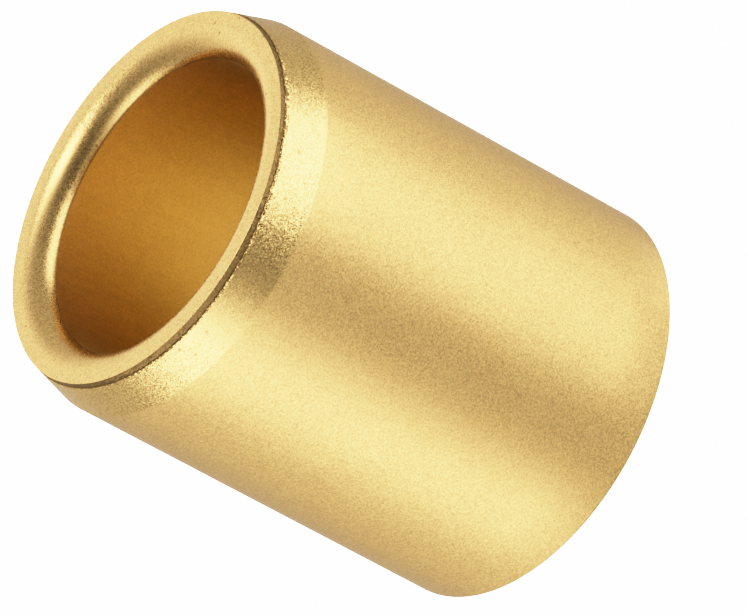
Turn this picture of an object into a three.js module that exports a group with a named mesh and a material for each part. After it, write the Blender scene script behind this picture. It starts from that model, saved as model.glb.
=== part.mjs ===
// Bronze sleeve bushing: a one-piece plain bearing for a 20 mm shaft.
// Millimetres, +Z up. The origin is the centre of the plain end face, and the bore runs along +Z to the mouth end.
import * as THREE from "three";

// Driving dimensions.
const BORE_DIAMETER = 20;
const OUTER_DIAMETER = 27;
const LENGTH = 32;

// Mouth end: rounded bore mouth, flat end face, pressing step, then the lead-in cone.
const MOUTH_ROUNDING = 1.85;
const MOUTH_ROUNDING_SWEEP = THREE.MathUtils.degToRad(76);
const END_FACE_WIDTH = 0.85;
const STEP_DEPTH = 0.42;
const CONE_LENGTH = 2.6;
const CONE_ANGLE = THREE.MathUtils.degToRad(15);

// Plain end: a broken outer edge and a small chamfer in the bore.
const PLAIN_EDGE_BREAK = 0.2;
const PLAIN_BORE_CHAMFER = 0.5;

// Facets.
const FACETS_ROUND = 128;
const FACETS_MOUTH_ROUNDING = 8;

const boreRadius = BORE_DIAMETER / 2;
const outerRadius = OUTER_DIAMETER / 2;
const endFaceInnerRadius = boreRadius + MOUTH_ROUNDING * Math.sin(MOUTH_ROUNDING_SWEEP);
const endFaceOuterRadius = endFaceInnerRadius + END_FACE_WIDTH;
const coneTopRadius = outerRadius - CONE_LENGTH * Math.tan(CONE_ANGLE);
const coneTopHeight = LENGTH - STEP_DEPTH;

// The arc from the flat end face down to the bore wall, as radius and height. It meets the bore at an edge.
function mouthRounding() {
  const points = [];
  for (let i = 0; i <= FACETS_MOUTH_ROUNDING; i += 1) {
    const angle = (i / FACETS_MOUTH_ROUNDING) * MOUTH_ROUNDING_SWEEP;
    const radius = endFaceInnerRadius - MOUTH_ROUNDING * Math.sin(angle);
    const height = LENGTH - MOUTH_ROUNDING + MOUTH_ROUNDING * Math.cos(angle);
    points.push(new THREE.Vector2(radius, height));
  }
  return points;
}

// The closed outline of the wall: over the mouth, down the bore, out along the plain end and up the outside.
function wallOutline() {
  const outline = [
    new THREE.Vector2(endFaceOuterRadius, LENGTH),
    ...mouthRounding(),
    new THREE.Vector2(boreRadius, PLAIN_BORE_CHAMFER),
    new THREE.Vector2(boreRadius + PLAIN_BORE_CHAMFER, 0),
    new THREE.Vector2(outerRadius - PLAIN_EDGE_BREAK, 0),
    new THREE.Vector2(outerRadius, PLAIN_EDGE_BREAK),
    new THREE.Vector2(outerRadius, coneTopHeight - CONE_LENGTH),
    new THREE.Vector2(coneTopRadius, coneTopHeight),
    new THREE.Vector2(endFaceOuterRadius, coneTopHeight),
  ];
  outline.push(outline[0].clone());
  return outline;
}

// A lathe turns its outline about Y, so the geometry is stood up to put that axis along Z.
function sleeveGeometry() {
  const geometry = new THREE.LatheGeometry(wallOutline(), FACETS_ROUND);
  geometry.rotateX(Math.PI / 2);
  return geometry;
}

const sinteredBronze = new THREE.MeshStandardMaterial({
  color: new THREE.Color(0.85, 0.505, 0.169),
  roughness: 0.4,
  metalness: 1,
});

const sleeve = new THREE.Mesh(sleeveGeometry(), sinteredBronze);
sleeve.name = "sleeve";

const group = new THREE.Group();
group.add(sleeve);

export default group;
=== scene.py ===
"""Bronze sleeve bushing: the fine surface, its finish, and a plain studio round it.

The CAD sleeve sets the outer size. This script turns a denser outline of the same wall, with the ragged
pressing edge round the mouth, and gives each zone of the surface its own bronze finish.
"""

import math

import bpy
import numpy as np
from mathutils import Matrix, Vector


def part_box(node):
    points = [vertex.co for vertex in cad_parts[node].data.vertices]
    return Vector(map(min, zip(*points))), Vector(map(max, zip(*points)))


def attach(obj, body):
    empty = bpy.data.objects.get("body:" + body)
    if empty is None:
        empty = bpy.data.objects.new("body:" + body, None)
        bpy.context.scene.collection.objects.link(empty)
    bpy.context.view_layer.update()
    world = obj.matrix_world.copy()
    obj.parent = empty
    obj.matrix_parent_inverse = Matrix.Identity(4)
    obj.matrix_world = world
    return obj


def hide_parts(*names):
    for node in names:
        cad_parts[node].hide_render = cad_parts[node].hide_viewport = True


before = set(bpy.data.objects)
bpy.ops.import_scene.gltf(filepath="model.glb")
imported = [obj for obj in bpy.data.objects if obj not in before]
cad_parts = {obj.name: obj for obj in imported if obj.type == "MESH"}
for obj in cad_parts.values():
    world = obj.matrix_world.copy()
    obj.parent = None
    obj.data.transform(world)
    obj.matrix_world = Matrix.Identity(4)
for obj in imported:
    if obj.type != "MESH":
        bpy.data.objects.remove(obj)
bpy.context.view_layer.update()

MM = 0.001

# ---- Driving dimensions, in millimetres and degrees ----------------------------------------------------

sleeve_low, sleeve_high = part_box("sleeve")
OUTER_RADIUS = (sleeve_high[0] - sleeve_low[0]) / 2 / MM
LENGTH = (sleeve_high[2] - sleeve_low[2]) / MM
BORE_RADIUS = 10.0
MOUTH_ROUNDING = 1.85
MOUTH_ROUNDING_SWEEP = 76
END_FACE_WIDTH = 0.85
STEP_DEPTH = 0.42
CONE_LENGTH = 2.6
PLAIN_EDGE_BREAK = 0.2
PLAIN_BORE_CHAMFER = 0.5

# The fine shape of the edges, which the CAD sleeve leaves plain.
LIP_EDGE_RADIUS = 0.06
BRINK_SWEEP = 4
LEDGE_WIDTH = 0.12
CREST_HEIGHT = 0.12
STEP_ROOT_WIDTH = 0.03
STEP_ROOT_DEPTH = 0.02
BORE_TOP_BAND = 0.08
SHALLOW_SIDE = -7
SHALLOW_LIFT = 0.16
CONE_FOOT_BLEND = 0.12
SEGMENTS = 960

face_inner_radius = BORE_RADIUS + MOUTH_ROUNDING * math.sin(math.radians(MOUTH_ROUNDING_SWEEP))
face_outer_radius = face_inner_radius + END_FACE_WIDTH
cone_top_radius = face_outer_radius + LEDGE_WIDTH
cone_slope = (OUTER_RADIUS - cone_top_radius) / CONE_LENGTH
cone_top_height = LENGTH - STEP_DEPTH
cone_foot_height = cone_top_height - CONE_LENGTH

# The angle of each column of the mesh.
column_angles = np.arange(SEGMENTS) / SEGMENTS * 2 * math.pi

# The zones of the surface, each with a bronze of its own; the step and brink zones also carry painted shade.
ZONES = ["outside", "cone", "crest", "step", "mouth", "brink", "bore", "base"]


# ---- The outline ---------------------------------------------------------------------------------------

def line(start, end, count):
    """Points from start towards end, without end, evenly spaced."""
    start, end = np.array(start), np.array(end)
    return [tuple(start + (end - start) * s) for s in np.arange(count) / count]


def arc(centre, radius, start, end, count):
    """Points on an arc from angle start towards end, in degrees, without the end point."""
    angles = np.radians(start + (end - start) * np.arange(count) / count)
    return [(centre[0] + radius * math.cos(a), centre[1] + radius * math.sin(a)) for a in angles]


def blend(start, corner, end, count):
    """A quadratic curve that rounds off the corner between start and end, without end."""
    start, corner, end = np.array(start), np.array(corner), np.array(end)
    return [tuple((1 - s) ** 2 * start + 2 * s * (1 - s) * corner + s ** 2 * end)
            for s in np.arange(count) / count]


def wall_outline():
    """The wall's closed outline as radius, height and zone: up the outside, over the mouth, down the bore."""
    edge, lip, chamfer = PLAIN_EDGE_BREAK, LIP_EDGE_RADIUS, PLAIN_BORE_CHAMFER
    cone_top = (cone_top_radius, cone_top_height)
    cone_foot = (OUTER_RADIUS, cone_foot_height)
    below_foot = (OUTER_RADIUS, cone_foot_height - CONE_FOOT_BLEND / 2)
    above_foot = (OUTER_RADIUS - CONE_FOOT_BLEND / 2 * cone_slope, cone_foot_height + CONE_FOOT_BLEND / 2)
    below_crest = (cone_top_radius + CREST_HEIGHT * cone_slope, cone_top_height - CREST_HEIGHT)
    step_root = (face_outer_radius + STEP_ROOT_WIDTH, cone_top_height - STEP_ROOT_DEPTH)
    lip_centre = (face_outer_radius - lip, LENGTH - lip)
    rounding_centre = (face_inner_radius, LENGTH - MOUTH_ROUNDING)
    rounding_end = 90 + MOUTH_ROUNDING_SWEEP
    bore_top = (BORE_RADIUS, rounding_centre[1] + MOUTH_ROUNDING * math.sin(math.radians(rounding_end)))
    stretches = [
        ("base", line((BORE_RADIUS + chamfer, 0), (OUTER_RADIUS - edge, 0), 5)),
        ("outside", arc((OUTER_RADIUS - edge, edge), edge, -90, 0, 5)),
        ("outside", line((OUTER_RADIUS, edge), below_foot, 8)),
        ("outside", blend(below_foot, cone_foot, above_foot, 3)),
        ("cone", line(above_foot, below_crest, 19)),
        ("crest", line(below_crest, cone_top, 2)),
        ("step", line(cone_top, step_root, 3)),
        ("step", line(step_root, (face_outer_radius, LENGTH - lip), 3)),
        ("step", arc(lip_centre, lip, 0, 45, 2)),
        ("mouth", arc(lip_centre, lip, 45, 90, 3)),
        ("mouth", line((face_outer_radius - lip, LENGTH), (face_inner_radius, LENGTH), 7)),
        ("mouth", arc(rounding_centre, MOUTH_ROUNDING, 90, rounding_end - BRINK_SWEEP, 24)),
        ("brink", arc(rounding_centre, MOUTH_ROUNDING, rounding_end - BRINK_SWEEP, rounding_end, 2)),
        ("bore", [bore_top]),
        ("bore", line((BORE_RADIUS, bore_top[1] - BORE_TOP_BAND), (BORE_RADIUS, chamfer), 8)),
        ("base", line((BORE_RADIUS, chamfer), (BORE_RADIUS + chamfer, 0), 3)),
    ]
    return [(r, z, zone) for zone, points in stretches for r, z in points]


# ---- The ragged pressing edge and the dents ------------------------------------------------------------

# Two sets of chips: how many, then their greatest width and depth. The shares say how much of those a chip
# has, and how much of its half width is sloping wall.
CHIPS = [(170, 0.5, 0.05), (260, 0.25, 0.04)]
CHIP_WIDTH_SHARES = (0.3, 1.0)
CHIP_DEPTH_SHARES = (0.2, 1.0)
CHIP_WALL_SHARE = 0.5
RIPPLE_WAVES = range(40, 150, 7)
RIPPLE_HEIGHT = 0.015
RIPPLE_HEIGHT_SHARES = (0.5, 1.0)
BURR_SHARE = 0.16
BURR_HEIGHT = 0.05
BURR_HEIGHT_SHARES = (0.3, 1.0)
LIFT_SHARPNESS = 6
CREST_SEED = 3
DENT_SEED = 11

# The rings near the crest, counted from it: how much of the lift and the chips each one takes, and how far
# its own points are off at most.
CREST_SHARES = {-1: 0.5, 0: 1.0, 1: 0.8, 2: 0.3}
CREST_ROUGHNESS = {-1: 0.008, 0: 0.02, 1: 0.012, 2: 0.008}


def chips(rng, count, width, depth):
    """Random notches round the circle, as one depth for each segment. Widths and depths in millimetres."""
    out = np.zeros(SEGMENTS)
    for _ in range(count):
        centre = rng.uniform(0, 2 * math.pi)
        half = rng.uniform(*CHIP_WIDTH_SHARES) * width / cone_top_radius / 2
        distance = np.abs((column_angles - centre + math.pi) % (2 * math.pi) - math.pi)
        notch = np.clip((half - distance) / (CHIP_WALL_SHARE * half), 0, 1)
        out = np.maximum(out, notch * rng.uniform(*CHIP_DEPTH_SHARES) * depth)
    return out


def ripple(rng, waves, size):
    """Smooth random ripple round the circle, as one height for each segment, in millimetres."""
    out = np.zeros(SEGMENTS)
    for n in waves:
        wave = np.sin(n * column_angles + rng.uniform(0, 2 * math.pi))
        out += wave * rng.uniform(*RIPPLE_HEIGHT_SHARES)
    return out * size / math.sqrt(len(waves))


def break_crest(outline, radius, height):
    """Chips and burrs the top edge of the cone, and lifts it on the shallow side of the step."""
    rng = np.random.default_rng(CREST_SEED)
    crest = next(i for i, point in enumerate(outline) if point[2] == "step")
    toward_shallow = np.cos(column_angles - math.radians(SHALLOW_SIDE))
    lift = SHALLOW_LIFT * np.maximum(toward_shallow, 0) ** LIFT_SHARPNESS
    ragged = sum(chips(rng, *chip_set) for chip_set in CHIPS)
    ragged += np.abs(ripple(rng, RIPPLE_WAVES, RIPPLE_HEIGHT))
    burred = rng.uniform(0, 1, SEGMENTS) < BURR_SHARE
    burrs = np.where(burred, rng.uniform(*BURR_HEIGHT_SHARES, SEGMENTS) * BURR_HEIGHT, 0)
    for ring, share in CREST_SHARES.items():
        height[crest + ring] += (lift - ragged) * share
        radius[crest + ring] -= lift * share * cone_slope
    height[crest] += burrs
    radius[crest] += burrs / 2
    for ring, size in CREST_ROUGHNESS.items():
        radius[crest + ring] -= rng.uniform(0, size, SEGMENTS)
        height[crest + ring] -= rng.uniform(0, size, SEGMENTS)


def outward(outline):
    """The outline's normal at each point, as radius and height, pointing out of the metal."""
    points = np.array([point[:2] for point in outline])
    along = np.roll(points, -1, axis=0) - np.roll(points, 1, axis=0)
    normal = np.stack([along[:, 1], -along[:, 0]], axis=1)
    return normal / np.linalg.norm(normal, axis=1, keepdims=True)


# Dents in a zone: how many, their least and greatest radius, and their depth for each millimetre of radius.
DENTS = [
    ("mouth", 40, 0.05, 0.15, 0.3),
    ("cone", 30, 0.05, 0.15, 0.3),
]
DENT_WALL_STEEPNESS = 1.6
DENT_WALL_POWER = 1.5


def dent(outline, vertices):
    """Presses small pits into their own zone, and returns how deep in a pit each vertex is, from 0 to 1."""
    rng = np.random.default_rng(DENT_SEED)
    normal = outward(outline)
    outward_radius, outward_height = normal[:, :1], np.repeat(normal[:, 1:], SEGMENTS, axis=1)
    way = np.stack([
        outward_radius * np.cos(column_angles),
        outward_radius * np.sin(column_angles),
        outward_height,
    ], axis=-1)
    pit = np.zeros(vertices.shape[:2])
    for zone, count, least, greatest, depth in DENTS:
        rings = [i for i, point in enumerate(outline) if point[2] == zone]
        other_rings = [i for i, point in enumerate(outline) if point[2] != zone]
        for _ in range(count):
            centre = vertices[rng.choice(rings), rng.integers(SEGMENTS)]
            size = rng.uniform(least, greatest)
            near = 1 - np.linalg.norm(vertices - centre, axis=-1) / size
            hollow = np.clip(near * DENT_WALL_STEEPNESS, 0, 1) ** DENT_WALL_POWER
            hollow[other_rings] = 0
            vertices -= way * (hollow * size * depth)[..., None]
            pit = np.maximum(pit, hollow)
    return pit


# ---- The mesh ------------------------------------------------------------------------------------------

def sleeve_mesh():
    """The outline turned round the axis, with its edge broken and its dents pressed in."""
    outline = wall_outline()
    rings = len(outline)
    radius = np.repeat(np.array([point[0] for point in outline])[:, None], SEGMENTS, axis=1)
    height = np.repeat(np.array([point[1] for point in outline])[:, None], SEGMENTS, axis=1)
    break_crest(outline, radius, height)
    vertices = np.stack([
        radius * np.cos(column_angles),
        radius * np.sin(column_angles),
        height,
    ], axis=-1)
    pit = dent(outline, vertices)

    ring, column = np.meshgrid(np.arange(rings), np.arange(SEGMENTS), indexing="ij")
    next_ring, next_column = (ring + 1) % rings, (column + 1) % SEGMENTS
    quads = np.stack([
        ring * SEGMENTS + column,
        ring * SEGMENTS + next_column,
        next_ring * SEGMENTS + next_column,
        next_ring * SEGMENTS + column,
    ], axis=-1).reshape(-1, 4)

    mesh = bpy.data.meshes.new("bronze_sleeve")
    mesh.from_pydata((vertices.reshape(-1, 3) * MM).tolist(), [], quads.tolist())
    zone_of_ring = np.array([ZONES.index(point[2]) for point in outline])
    mesh.polygons.foreach_set("material_index", np.repeat(zone_of_ring, SEGMENTS))
    mesh.polygons.foreach_set("use_smooth", np.ones(len(quads), dtype=bool))
    mesh.attributes.new("pit", "FLOAT", "POINT").data.foreach_set("value", pit.ravel())
    mesh.update()
    return mesh


# ---- The bronze finishes -------------------------------------------------------------------------------

# Tones and painted shades are shares of the bronze's own colour, and sizes are in millimetres.
BRONZE = (0.85, 0.505, 0.169)
BORE_BRONZE = (0.855, 0.58, 0.2)
EDGE_TINT = (0.85, 0.8, 0.7, 1.0)
# Darkens the ledge of the pressing step: partly painted shade of the recess, partly the darker as-pressed
# surface.
LEDGE_SHADE_AND_TONE = 0.27
# Darkens the last of the mouth rounding, next to the bore, as a painted shadow line.
BRINK_SHADE = 0.5
CLOUD_SIZE = 3.5
# The few open pores, whose dark is painted shade, not holes in the mesh.
PORE_SPACING = 1.8
PORE_REACH = 0.07
PORE_THRESHOLD = 0.4
PORE_CORE = 0.5
# How dark the middle of a dent is painted, as painted shade in the hollow.
PIT_SHADE = 0.35
PIT_ROUGHNESS = 0.2
GRAIN_ROUGHNESS = 0.03
STREAK_WIDTH = 0.3
STREAK_STRETCH = 0.08


class Nodes:
    """A short way to add and join shader nodes."""

    def __init__(self, owner):
        owner.use_nodes = True
        self.tree = owner.node_tree
        self.tree.nodes.clear()

    def add(self, kind, inputs=None, **settings):
        node = self.tree.nodes.new(kind)
        for name, value in settings.items():
            setattr(node, name, value)
        for name, value in (inputs or {}).items():
            self.set(node.inputs[name], value)
        return node

    def set(self, socket, value):
        if isinstance(value, bpy.types.NodeSocket):
            self.tree.links.new(value, socket)
        else:
            socket.default_value = value

    def remap(self, value, low, high, to_low, to_high):
        node = self.add("ShaderNodeMapRange", {
            "Value": value, "From Min": low, "From Max": high, "To Min": to_low, "To Max": to_high})
        return node.outputs["Result"]

    def math(self, operation, a, b=0.0):
        node = self.add("ShaderNodeMath", operation=operation)
        self.set(node.inputs[0], a)
        self.set(node.inputs[1], b)
        return node.outputs["Value"]

    def vector(self, operation, a, b=(0, 0, 0)):
        node = self.add("ShaderNodeVectorMath", operation=operation)
        self.set(node.inputs[0], a)
        self.set(node.inputs[1], b)
        return node.outputs["Vector"]

    def noise(self, place, size, detail=2.0, roughness=0.5):
        node = self.add("ShaderNodeTexNoise", {
            "Vector": place, "Scale": 1 / size, "Detail": detail, "Roughness": roughness})
        return node.outputs["Fac"]

    def drift(self, noise, amount):
        """A factor that follows a noise, whose usual range is 0.3 to 0.7, from 1 - amount to 1 + amount."""
        return self.remap(noise, 0.3, 0.7, 1 - amount, 1 + amount)

    def cells(self, place, size):
        """A random colour for each powder grain."""
        node = self.add("ShaderNodeTexVoronoi", {"Vector": place, "Scale": 1 / size})
        return node.outputs["Color"]

    def scaled(self, colour, factor):
        """A colour made lighter or darker by a factor."""
        node = self.add("ShaderNodeVectorMath", operation="SCALE")
        self.set(node.inputs[0], colour)
        self.set(node.inputs["Scale"], factor)
        return node.outputs["Vector"]


def bronze(name, roughness, grain, tilt, speckle, colour=BRONZE, cloud=0.03, streaks=0.0, pore_shade=0.0):
    """Sintered bronze. grain is the powder size in millimetres.

    Each grain leans its own way, by up to half of tilt, and has its own tone, which differs by speckle.
    cloud is how much the tone drifts over millimetres, and pore_shade is how dark the painted shade of the
    few open pores is, which the mesh lacks.
    streaks is how much the tone differs in lines along the axis.
    """
    material = bpy.data.materials.new(name)
    n = Nodes(material)
    place = n.vector("MULTIPLY", n.add("ShaderNodeTexCoord").outputs["Object"], (1 / MM, 1 / MM, 1 / MM))
    own = n.cells(place, grain)
    grain_tone = n.add("ShaderNodeSeparateColor", {"Color": own}).outputs["Red"]
    pit = n.add("ShaderNodeAttribute", attribute_name="pit").outputs["Fac"]

    clouds = n.drift(n.noise(place, CLOUD_SIZE, detail=4.0, roughness=0.6), cloud)
    tone = n.math("MULTIPLY", clouds, n.remap(grain_tone, 0, 1, 1 - speckle, 1 + speckle))
    if streaks:
        along = n.vector("MULTIPLY", place, (1.0, 1.0, STREAK_STRETCH))
        tone = n.math("MULTIPLY", tone, n.drift(n.noise(along, STREAK_WIDTH), streaks))
    # Painted shade: dark specks where open pores would be, which the mesh doesn't have.
    if pore_shade:
        pore = n.add("ShaderNodeTexVoronoi", {"Vector": place, "Scale": 1 / PORE_SPACING})
        size = n.add("ShaderNodeSeparateColor", {"Color": pore.outputs["Color"]}).outputs["Green"]
        reach = n.remap(size, PORE_THRESHOLD, 1, 0.001, PORE_REACH)
        share = n.math("DIVIDE", pore.outputs["Distance"], reach)
        tone = n.math("MULTIPLY", tone, n.remap(share, PORE_CORE, 1, 1 - pore_shade, 1))
    # Painted shade: darker colour inside the dents, deepest at their middle.
    tone = n.math("MULTIPLY", tone, n.remap(pit, 0, 1, 1.0, PIT_SHADE))

    grain_rough = n.remap(grain_tone, 0, 1, roughness - GRAIN_ROUGHNESS, roughness + GRAIN_ROUGHNESS)
    rough = n.math("ADD", grain_rough, n.remap(pit, 0, 1, 0, PIT_ROUGHNESS))
    lean = n.scaled(n.vector("SUBTRACT", own, (0.5, 0.5, 0.5)), tilt)
    face = n.add("ShaderNodeNewGeometry").outputs["Normal"]
    normal = n.vector("NORMALIZE", n.vector("ADD", face, lean))

    shader = n.add("ShaderNodeBsdfPrincipled", {
        "Base Color": n.scaled(colour, tone), "Metallic": 1.0, "Roughness": rough, "Normal": normal,
        "Specular Tint": EDGE_TINT})
    output = n.add("ShaderNodeOutputMaterial")
    n.set(output.inputs["Surface"], shader.outputs["BSDF"])
    return material


def finishes():
    """One bronze for each zone."""
    # The ledge colour: bronze darkened partly by painted shade of the recess, partly as the darker as-pressed
    # surface.
    ledge = tuple(value * LEDGE_SHADE_AND_TONE for value in BRONZE)
    # The brink colour: bronze darkened as a painted shadow line where the rounding meets the bore.
    brink = tuple(value * BRINK_SHADE for value in BRONZE)
    plain = dict(roughness=0.33, grain=0.065, tilt=0.04, speckle=0.34, pore_shade=0.45)
    looks = {
        "outside": plain,
        "cone": dict(roughness=0.29, grain=0.055, tilt=0.2, speckle=0.45, pore_shade=0.45),
        "crest": dict(roughness=0.22, grain=0.1, tilt=0.6, speckle=0.3),
        "step": dict(roughness=0.5, grain=0.09, tilt=0.5, speckle=0.3, colour=ledge, cloud=0.1),
        "mouth": dict(roughness=0.27, grain=0.075, tilt=0.05, speckle=0.33, pore_shade=0.35),
        "brink": dict(roughness=0.4, grain=0.075, tilt=0.05, speckle=0.2, colour=brink),
        "bore": dict(roughness=0.34, grain=0.09, tilt=0.0, speckle=0.12, colour=BORE_BRONZE, streaks=0.03),
        "base": plain,
    }
    return {zone: bronze("bronze_" + zone, **look) for zone, look in looks.items()}


def make_sleeve():
    """The fine wall, which stands for the CAD sleeve."""
    sleeve = bpy.data.objects.new("bronze_sleeve", sleeve_mesh())
    bpy.context.collection.objects.link(sleeve)
    materials = finishes()
    for zone in ZONES:
        sleeve.data.materials.append(materials[zone])
    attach(sleeve, "root")
    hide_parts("sleeve")


# ---- The camera ----------------------------------------------------------------------------------------

CAMERA_AZIMUTH = math.radians(45)
CAMERA_ELEVATION = math.radians(32.5)
CAMERA_ROLL = math.radians(61.58)
CAMERA_DISTANCE = 658.5 * MM
CAMERA_LENS = 505.7
SENSOR_WIDTH = 36.0
AIM_RIGHT = 2.31 * MM
AIM_DOWN = 0.44 * MM

toward_camera = Vector((math.sin(CAMERA_AZIMUTH), -math.cos(CAMERA_AZIMUTH), 0.0))
camera_side = Vector((math.cos(CAMERA_AZIMUTH), math.sin(CAMERA_AZIMUTH), 0.0))
UP = Vector((0.0, 0.0, 1.0))


def make_camera():
    """A long lens, rolled so that the sleeve lies on its side in the picture."""
    data = bpy.data.cameras.new("camera")
    data.lens = CAMERA_LENS
    data.sensor_width = SENSOR_WIDTH
    camera = bpy.data.objects.new("camera", data)
    bpy.context.collection.objects.link(camera)
    back = toward_camera * math.cos(CAMERA_ELEVATION) + UP * math.sin(CAMERA_ELEVATION)
    level_up = back.cross(camera_side)
    up = level_up * math.cos(CAMERA_ROLL) + camera_side * math.sin(CAMERA_ROLL)
    right = up.cross(back)
    centre = UP * LENGTH / 2 * MM
    turn = Matrix((right, up, back)).transposed().to_4x4()
    place = centre + back * CAMERA_DISTANCE + right * AIM_RIGHT - up * AIM_DOWN
    camera.matrix_world = Matrix.Translation(place) @ turn
    bpy.context.scene.camera = camera


# ---- The studio ----------------------------------------------------------------------------------------

def direction(azimuth, elevation):
    """The way from the part to a place in the studio, with azimuth 0 on the camera's side."""
    a, e = math.radians(azimuth), math.radians(elevation)
    level = toward_camera * math.cos(a) + camera_side * math.sin(a)
    return level * math.cos(e) + UP * math.sin(e)


# Each softbox: azimuth and elevation of its middle, half its width and half its height, all in degrees,
# then how soft its edge is, in degrees, and its brightness.
SOFTBOXES = [
    (56, -2, 32, 30, 6, 3.2),
    (-56, -6, 24, 28, 25, 3.55),
    (177, 79, 5, 19, 12, 8.8),
    (194, 15, 25, 32, 27, 1.2),
    (117, -50, 17, 12, 7, 1.9),
    (-105, -46, 21, 21, 20, 0.4),
    (-3, 18, 24, 4, 4, 0.85),
    (-54, 3, 13, 8, 8, 0.7),
]
ROOM_UPPER_FRONT = 0.02
ROOM_UPPER_REAR = 0.73
ROOM_LOWER = 0.68
HORIZON = -9
HORIZON_SOFTNESS = 25
PALE_BACKGROUND = 6.0
WHITE = (1, 1, 1, 1)


def make_world():
    """The softboxes and the room, as the bronze mirrors them, and a pale background for the camera."""
    world = bpy.data.worlds.new("studio")
    bpy.context.scene.world = world
    n = Nodes(world)
    way = n.add("ShaderNodeTexCoord").outputs["Generated"]

    def along(axis):
        node = n.add("ShaderNodeVectorMath", operation="DOT_PRODUCT")
        n.set(node.inputs[0], way)
        n.set(node.inputs[1], axis)
        return node.outputs["Value"]

    def smooth(value, low, high, to_low=0.0, to_high=1.0):
        node = n.add("ShaderNodeMapRange", {
            "Value": value, "From Min": low, "From Max": high, "To Min": to_low, "To Max": to_high,
        }, interpolation_type="SMOOTHSTEP")
        return node.outputs["Result"]

    def softbox(azimuth, elevation, half_wide, half_tall, softness, brightness):
        middle = direction(azimuth, elevation)
        side = direction(azimuth + 90, 0)
        depth = n.math("MAXIMUM", along(middle), 0.001)
        soft = math.tan(math.radians(softness))
        cover = brightness
        for axis, half in ((side, half_wide), (middle.cross(side), half_tall)):
            offset = n.math("ABSOLUTE", n.math("DIVIDE", along(axis), depth), 0.0)
            edge = math.tan(math.radians(half))
            cover = n.math("MULTIPLY", cover, smooth(offset, edge + soft, edge - soft))
        return cover

    height = along(UP)
    horizon_low = math.sin(math.radians(HORIZON - HORIZON_SOFTNESS))
    horizon_high = math.sin(math.radians(HORIZON + HORIZON_SOFTNESS))
    frontness = n.remap(along(toward_camera), -1, 1, 0, 1)
    upper = n.remap(frontness, 0, 1, ROOM_UPPER_REAR, ROOM_UPPER_FRONT)
    above = smooth(height, horizon_low, horizon_high)
    level = n.math("ADD", n.math("MULTIPLY", above, upper),
                   n.math("MULTIPLY", n.math("SUBTRACT", 1.0, above), ROOM_LOWER))
    for box in SOFTBOXES:
        level = n.math("ADD", level, softbox(*box))
    seen = n.add("ShaderNodeLightPath").outputs["Is Camera Ray"]
    room = n.add("ShaderNodeBackground", {"Color": WHITE, "Strength": level})
    pale = n.add("ShaderNodeBackground", {"Color": WHITE, "Strength": PALE_BACKGROUND})
    mixed = n.add("ShaderNodeMixShader", {"Fac": seen})
    n.set(mixed.inputs[1], room.outputs[0])
    n.set(mixed.inputs[2], pale.outputs[0])
    output = n.add("ShaderNodeOutputWorld")
    n.set(output.inputs["Surface"], mixed.outputs[0])


FLOOR_HALF_WIDTH = 4000 * MM
FLOOR_LIGHT = 5.0


def make_floor():
    """A pale floor, bright enough to hide where it ends."""
    size = FLOOR_HALF_WIDTH
    mesh = bpy.data.meshes.new("floor")
    corners = [(-size, -size, 0), (size, -size, 0), (size, size, 0), (-size, size, 0)]
    mesh.from_pydata(corners, [], [(0, 1, 2, 3)])
    floor = bpy.data.objects.new("floor", mesh)
    bpy.context.collection.objects.link(floor)
    material = bpy.data.materials.new("pale_floor")
    n = Nodes(material)
    shader = n.add("ShaderNodeBsdfPrincipled", {
        "Base Color": (0.85, 0.85, 0.85, 1), "Roughness": 0.9, "Specular IOR Level": 0.0,
        "Emission Color": WHITE, "Emission Strength": FLOOR_LIGHT})
    output = n.add("ShaderNodeOutputMaterial")
    n.set(output.inputs["Surface"], shader.outputs["BSDF"])
    mesh.materials.append(material)
    floor.visible_glossy = False
    floor.visible_shadow = False


BORE_FLOOR_RADIUS = 10.45 * MM
BORE_FLOOR_HEIGHT = 0.05 * MM
BORE_FLOOR_LIGHT = 3.7
BORE_FLOOR_FALLOFF = 3.5
BORE_FLOOR_CORNERS = 64


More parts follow.
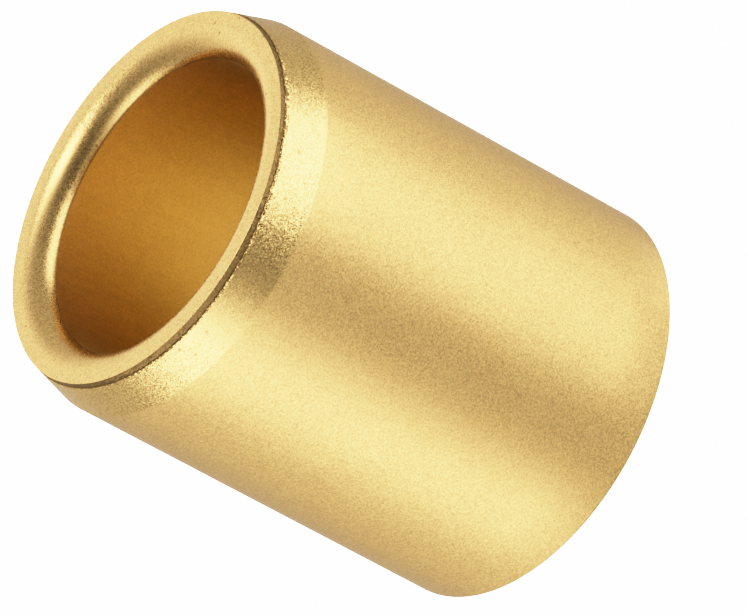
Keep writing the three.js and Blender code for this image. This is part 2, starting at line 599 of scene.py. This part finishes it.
def make_bore_floor():
    """The floor inside the sleeve, as the bore mirrors it: pale in the middle and shaded at its edge."""
    circle = arc((0, 0), BORE_FLOOR_RADIUS, 0, 360, BORE_FLOOR_CORNERS)
    corners = [(x, y, BORE_FLOOR_HEIGHT) for x, y in circle]
    mesh = bpy.data.meshes.new("bore_floor")
    mesh.from_pydata(corners, [], [tuple(range(BORE_FLOOR_CORNERS))])
    patch = bpy.data.objects.new("bore_floor", mesh)
    bpy.context.collection.objects.link(patch)
    material = bpy.data.materials.new("shaded_floor")
    n = Nodes(material)
    place = n.add("ShaderNodeTexCoord").outputs["Object"]
    away = n.add("ShaderNodeVectorMath", {"Vector": place}, operation="LENGTH").outputs["Value"]
    share = n.math("DIVIDE", away, BORE_FLOOR_RADIUS)
    open_sky = n.math("SUBTRACT", 1.0, n.math("MULTIPLY", share, share))
    light = n.math("MULTIPLY", n.math("POWER", open_sky, BORE_FLOOR_FALLOFF), BORE_FLOOR_LIGHT)
    glow = n.add("ShaderNodeEmission", {"Color": WHITE, "Strength": light})
    output = n.add("ShaderNodeOutputMaterial")
    n.set(output.inputs["Surface"], glow.outputs[0])
    mesh.materials.append(material)
    patch.visible_shadow = False
    patch.visible_camera = False


# ---- The tones -----------------------------------------------------------------------------------------

SHOULDER_POWER = 2.4
CURVE_TOP = 6.0
CURVE_STEPS = 18
COMBINED_CURVE = 3


def set_tones():
    """A soft shoulder, so that bright metal rolls off instead of clipping."""
    settings = bpy.context.scene.view_settings
    settings.view_transform = "Standard"
    settings.use_curve_mapping = True
    mapping = settings.curve_mapping
    mapping.white_level = (CURVE_TOP, CURVE_TOP, CURVE_TOP)
    mapping.use_clip = False
    curve = mapping.curves[COMBINED_CURVE]
    while len(curve.points) < CURVE_STEPS + 1:
        curve.points.new(1.0, 1.0)
    for index, point in enumerate(curve.points):
        share = (index / CURVE_STEPS) ** 2
        light = share * CURVE_TOP
        point.location = (share, light / (1 + light ** SHOULDER_POWER) ** (1 / SHOULDER_POWER))
    mapping.update()


make_camera()
make_sleeve()
make_world()
make_floor()
make_bore_floor()
set_tones()
